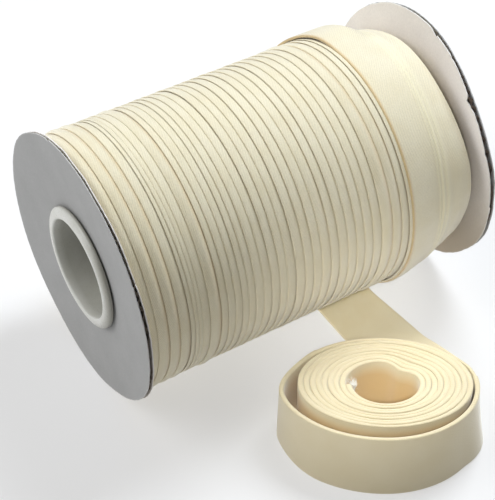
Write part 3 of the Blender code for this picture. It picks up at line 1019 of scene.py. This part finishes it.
def frayed_end(fibre):
    """Short white threads at the tape's cut inner end."""
    skin = Skin("frayed_threads")
    chance = random.Random(THREAD_SEED)
    rows = coil_rows()
    last, before = rows[-1], rows[-2]
    forward = (last[0] - before[0]).normalized()
    for _ in range(THREADS):
        root = last[0] + Vector((0, 0, TAPE_WIDTH * (1 - 0.9 * chance.random() ** 2)))
        side = Vector((-forward.y, forward.x, 0))
        root += side * chance.uniform(-1.1, 0.9) - forward * 0.6
        heading = forward + side * chance.uniform(-0.7, 0.7) + Vector((0, 0, chance.uniform(-0.4, 0.9)))
        reach = chance.uniform(*THREAD_REACH)
        bend = Vector((chance.uniform(-1, 1), chance.uniform(-1, 1), chance.uniform(-0.8, 0.6))) * 0.9
        thread = []
        for step in range(THREAD_ROWS):
            share = step / (THREAD_ROWS - 1)
            centre = root + heading * reach * share + bend * share * share
            radius = THREAD_RADIUS * (1 - THREAD_TAPER * share)
            ring = []
            for corner in range(THREAD_SIDES):
                turn = corner * 2 * math.pi / THREAD_SIDES
                spot = centre + side * math.cos(turn) * radius
                spot += Vector((0, 0, math.sin(turn) * radius))
                ring.append((spot,))
            thread.append(ring)
        skin.add_rows(thread, loop=True)
    return skin.build([fibre])


# The board flanges

RIM_BACK = 0.3
RIM_BROAD = 0.22
RIM_FINE = 0.1
LINER_RINGS = (BOARD_HOLE, 25, 27, 30, 36, 42, 46, 49, 51, 52.5, 53.6, 54.2)
MEDIUM_BACKS = (0, 0.7, 3.0)
# How worn a liner is towards its rim, outside and inside
OUTSIDE_WORN = (0.1, 0.25, 0.35)
INSIDE_WORN = (0.15, 0.65, 1.0)


def dish(radius):
    return on_curve(FLANGE_DISH, radius, 2.5)


def rim_reach(degrees, seed):
    """The rim's radius at an angle, a little uneven from the die."""
    broad = RIM_BROAD * waver(degrees * 0.06, seed)
    fine = RIM_FINE * waver(degrees * 0.5, seed + 4)
    return FLANGE_RADIUS - RIM_BACK + broad + fine


def flange(name, rim_place, inwards, papers, tears, bends, crushes, worns):
    """Two paper liners over a fluted middle, dished, crushed and torn a little at the rim."""

    def surface(degrees, radius):
        """How far inwards the outer side lies there, and the board's thickness."""
        crush = on_curve(crushes, degrees, 8) + 0.12 * waver(degrees * 0.09, 8.0)
        thick = FLANGE_THICK * (1 - (1 - crush) * smooth(radius, *CRUSH_REACH))
        return dish(radius) + bent(bends, radius, degrees), thick

    def placed(degrees, radius, deep):
        point = round_spool(rim_place + inwards * deep, radius, degrees)
        point.z = max(point.z, 0.0)
        return point

    skin = Skin(name)
    for layer in (0, 1):
        rows = []
        for step in range(LINER_STEPS):
            degrees = step * 360 / LINER_STEPS
            rim = rim_reach(degrees, layer + 3)
            for place, above, below, depth, side in tears:
                away = (degrees - place + 180) % 360 - 180
                if (side == "out") == (layer == 0):
                    rim -= depth * max(1 - abs(away) / (above if away > 0 else below), 0)
            rubbed = on_curve(worns, degrees, 6)
            worn = OUTSIDE_WORN if layer == 0 else [share * rubbed for share in INSIDE_WORN]
            circle = [(min(radius, rim - 0.6), 0.0) for radius in LINER_RINGS]
            circle += [(rim - 0.35, worn[0]), (rim - 0.08, worn[1])]
            under = []
            over = []
            for radius, shade in circle:
                start, thick = surface(degrees, radius)
                start += layer * (thick - LINER_THICK)
                # Painted brown shade, stronger towards the bottom of the inner liner
                brown = SHADED_LOW * layer * smooth(-math.sin(math.radians(degrees - 12)), 0.0, 0.9)
                under.append((placed(degrees, radius, start), shade, 0.0, 0.0, brown))
                over.append((placed(degrees, radius, start + LINER_THICK), shade, 0.0, 0.0, brown))
            start, thick = surface(degrees, rim)
            start += layer * (thick - LINER_THICK) + LINER_THICK / 2
            rows.append(under + [(placed(degrees, rim, start), worn[2])] + over[::-1])
        skin.add_rows(rows, loop=True, ring=True, slot=0 if layer == 0 else 2)
    rows = []
    for step in range(MEDIUM_STEPS):
        degrees = step * 360 / MEDIUM_STEPS
        rim = rim_reach(degrees, 9) - RIM_BACK
        pale = PALE_MEDIUM * (1 - on_curve(crushes, degrees, 8))
        row = []
        for back in MEDIUM_BACKS:
            radius = rim - back
            start, thick = surface(degrees, radius)
            room = thick / 2 - LINER_THICK
            flute = math.sin(2 * math.pi * radius * math.cos(math.radians(degrees)) / FLUTE_PITCH)
            for side in (-1, 1):
                deep = start + thick / 2 + (room - MEDIUM_HALF) * flute + side * MEDIUM_HALF
                row.append((placed(degrees, radius, deep), pale))
        rows.append([row[1], row[3], row[5], row[4], row[2], row[0]])
    skin.add_rows(rows, loop=True, ring=True, slot=1)
    return skin.build(papers, flip=inwards > 0, sharp_degrees=50)


# The core


CORE_STEPS = 144
DOME_STEPS = 12
DOME_STARTS = 0.9
DOME_FLAT = 1.1


def core_tube(plastic):
    """The tube with a domed lip at each end, one closed outline turned round the axis."""
    seat = FLANGE_DISH[0][1] - LIP_GAP
    end = FLANGE_DISH[0][1] - 0.3 - LIP_PROUD
    half = [
        (seat, TUBE_RADIUS),
        (seat, LIP_RADIUS - 0.25),
        (seat - 0.12, LIP_RADIUS - 0.05),
        (seat - 0.35, LIP_RADIUS),
    ]
    dome_wide = LIP_RADIUS - BORE_RADIUS - DOME_FLAT
    for step in range(DOME_STEPS + 1):
        angle = math.radians(step * 90 / DOME_STEPS)
        x = seat - DOME_STARTS - (seat - DOME_STARTS - end) * math.sin(angle)
        half.append((x, LIP_RADIUS - dome_wide * (1 - math.cos(angle))))
    half += [
        (end + 0.02, BORE_RADIUS + 0.75),
        (end + 0.12, BORE_RADIUS + 0.4),
        (end + 0.4, BORE_RADIUS + 0.12),
        (end + 1.0, BORE_RADIUS),
        (end + 4.0, BORE_RADIUS - 0.02),
        (end + 9.0, BORE_RADIUS - 0.05),
    ]
    profile = half + [(SPOOL_LENGTH - x, radius) for x, radius in reversed(half)]
    skin = Skin("core_tube")
    rows = []
    for step in range(CORE_STEPS):
        degrees = step * 360 / CORE_STEPS
        row = []
        # Painted shade on the lip's front-facing dome, deep in the bore and on the lip's flank by the board
        front = FRONT_SHADE * smooth(math.cos(math.radians(degrees)), 0.2, 0.95)
        for x, radius in profile:
            inside = min(x, SPOOL_LENGTH - x) - end
            if radius < BORE_RADIUS + 0.5:
                painted_shade = BORE_SHADE * smooth(inside, 0.5, 4.0)
            else:
                flank = FLANK_SHADE * smooth(inside, 1.2, 2.2)
                painted_shade = max(flank, front * smooth(radius, BORE_RADIUS + 0.9, LIP_RADIUS))
            row.append((round_spool(x, radius, degrees), painted_shade))
        rows.append(row)
    skin.add_rows(rows, loop=True, ring=True)
    return skin.build([plastic], sharp_degrees=40)


# The stage, lights and camera


def add_lamp(name, kind, place, aim, watts, **values):
    """A light at a place, turned to what it is aimed at."""
    light = bpy.data.lights.new(name, kind)
    light.energy = watts
    for key, value in values.items():
        setattr(light, key, value)
    lamp = bpy.data.objects.new(name, light)
    lamp.location = place
    lamp.rotation_euler = (Vector(aim) - Vector(place)).to_track_quat("-Z", "Y").to_euler()
    bpy.context.scene.collection.objects.link(lamp)


def studio():
    bpy.ops.mesh.primitive_plane_add(size=FLOOR_SIZE, location=(0, 0, 0))
    floor = bpy.context.object
    floor.name = "floor"
    floor.data.materials.append(floor_material())
    world = bpy.data.worlds.new("studio")
    world.use_nodes = True
    world.node_tree.nodes["Background"].inputs["Color"].default_value = (1, 1, 1, 1)
    world.node_tree.nodes["Background"].inputs["Strength"].default_value = SKY
    bpy.context.scene.world = world
    for name, place, width, watts, colour in LIGHTS:
        add_lamp(name, "AREA", place, SPOOL_MIDDLE, watts, size=width, color=colour)
    for name, place, aim, cone, width, watts in NARROW_LIGHTS:
        cone = math.radians(cone)
        add_lamp(name, "SPOT", place, aim, watts, spot_size=cone, spot_blend=1.0, shadow_soft_size=width)
    bpy.context.scene.view_settings.view_transform = "Standard"


def camera():
    eye = bpy.data.cameras.new("photo_camera")
    eye.lens = CAMERA_LENS
    eye.sensor_width = SENSOR_WIDTH
    looker = bpy.data.objects.new("photo_camera", eye)
    forward = CAMERA_LOOKS.normalized()
    right = forward.cross(Vector((0, 0, 1))).normalized()
    up = right.cross(forward)
    turn = Matrix((right, up, -forward)).transposed().to_4x4()
    looker.matrix_world = Matrix.Translation(in_scene(CAMERA_PLACE)) @ turn
    bpy.context.scene.collection.objects.link(looker)
    bpy.context.scene.camera = looker


def dress():
    cloth = cloth_material()
    outside = board_material("board_outside_look", *OUTSIDE_PAPER_AND_SHADE)
    inside = board_material("board_inside_look", *INSIDE_PAPER)
    papers = (outside, medium_material(), inside)
    plastic = plastic_material()

    turns = wound_turns(cloth)
    body = wound_body(cloth)
    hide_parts("wound_tape")
    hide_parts("wound_tape")
    tape, length = loose_tape(cloth)
    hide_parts("loose_tape", "hand_coil")
    threads = frayed_end(fibre_material())
    left = flange("board_left", 0, 1, papers, LEFT_TEARS, LEFT_BENT, LEFT_CRUSH, LEFT_WORN)
    right_rim = SPOOL_LENGTH - RIGHT_RIM_IN
    right = flange("board_right", right_rim, -1, papers, RIGHT_TEARS, RIGHT_BENT, RIGHT_CRUSH, RIGHT_WORN)
    core = core_tube(plastic)
    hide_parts("flange_left")
    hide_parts("flange_right")
    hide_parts("core")
    for piece, slot in (
        (turns, "tape_cloth"),
        (body, "tape_cloth"),
        (tape, "tape_cloth"),
        (threads, "tape_cloth"),
        (left, "board"),
        (right, "board"),
        (core, "core_plastic"),
    ):
        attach(piece, "root")


studio()
camera()
dress()
